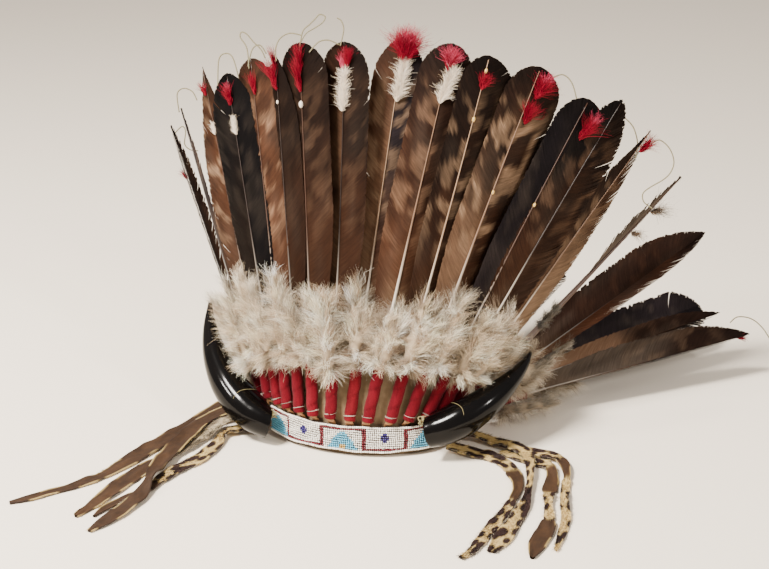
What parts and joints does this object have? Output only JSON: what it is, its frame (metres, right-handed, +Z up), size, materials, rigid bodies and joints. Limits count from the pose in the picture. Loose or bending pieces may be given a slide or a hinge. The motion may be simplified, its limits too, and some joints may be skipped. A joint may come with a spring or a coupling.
{
  "type": "horned feather headdress",
  "caption": "Felt cap with a beaded brow band, two curved horns, a ring of wrapped feathers with red wool and down, and trailing strips of spotted hide.",
  "frame": {"origin": "on the table, below the middle of the whole headdress's bounding box", "axes": "+Z up, -Y the way the wearer's brow faces, +X to the right of someone looking at the brow"},
  "size_m": [0.6166, 0.6788, 0.3718],
  "materials": {
    "felt": "soft khaki felt",
    "beadwork": "small glass beads sewn in rows on hide",
    "horn": "polished near-black horn",
    "feather_vane": "dark brown feather vane and pale quill",
    "red_wool": "matte red wool cloth",
    "down": "cream down",
    "spotted_hide": "spotted hide with the hair on"
  },
  "bodies": {
    "root": {"cap": "felt", "brow_band": "beadwork", "horn_left": "horn", "horn_right": "horn", "feather_01": "feather_vane", "feather_02": "feather_vane", "wrap_02": "red_wool", "feather_03": "feather_vane", "wrap_03": "red_wool", "feather_04": "feather_vane", "wrap_04": "red_wool", "feather_05": "feather_vane", "wrap_05": "red_wool", "feather_06": "feather_vane", "wrap_06": "red_wool", "feather_07": "feather_vane", "wrap_07": "red_wool", "feather_08": "feather_vane", "wrap_08": "red_wool", "feather_09": "feather_vane", "wrap_09": "red_wool", "feather_10": "feather_vane", "wrap_10": "red_wool", "feather_11": "feather_vane", "wrap_11": "red_wool", "feather_12": "feather_vane", "wrap_12": "red_wool", "feather_13": "feather_vane", "wrap_13": "red_wool", "feather_14": "feather_vane", "wrap_14": "red_wool", "feather_15": "feather_vane", "wrap_15": "red_wool", "feather_16": "feather_vane", "feather_17": "feather_vane", "feather_18": "feather_vane", "feather_19": "feather_vane", "feather_20": "feather_vane", "feather_21": "feather_vane", "feather_22": "feather_vane", "feather_23": "feather_vane", "feather_24": "feather_vane", "feather_25": "feather_vane", "feather_26": "feather_vane", "feather_27": "feather_vane", "feather_28": "feather_vane", "down_left": "down", "down_front": "down", "down_right": "down", "down_rear_right": "down", "down_rear_left": "down", "hide_strip_left_1": "spotted_hide", "hide_strip_left_2": "spotted_hide", "hide_strip_left_3": "spotted_hide", "hide_strip_left_4": "spotted_hide", "hide_strip_right_1": "spotted_hide", "hide_strip_right_2": "spotted_hide", "hide_strip_right_3": "spotted_hide", "hide_strip_right_4": "spotted_hide"}
  },
  "joints": []
}
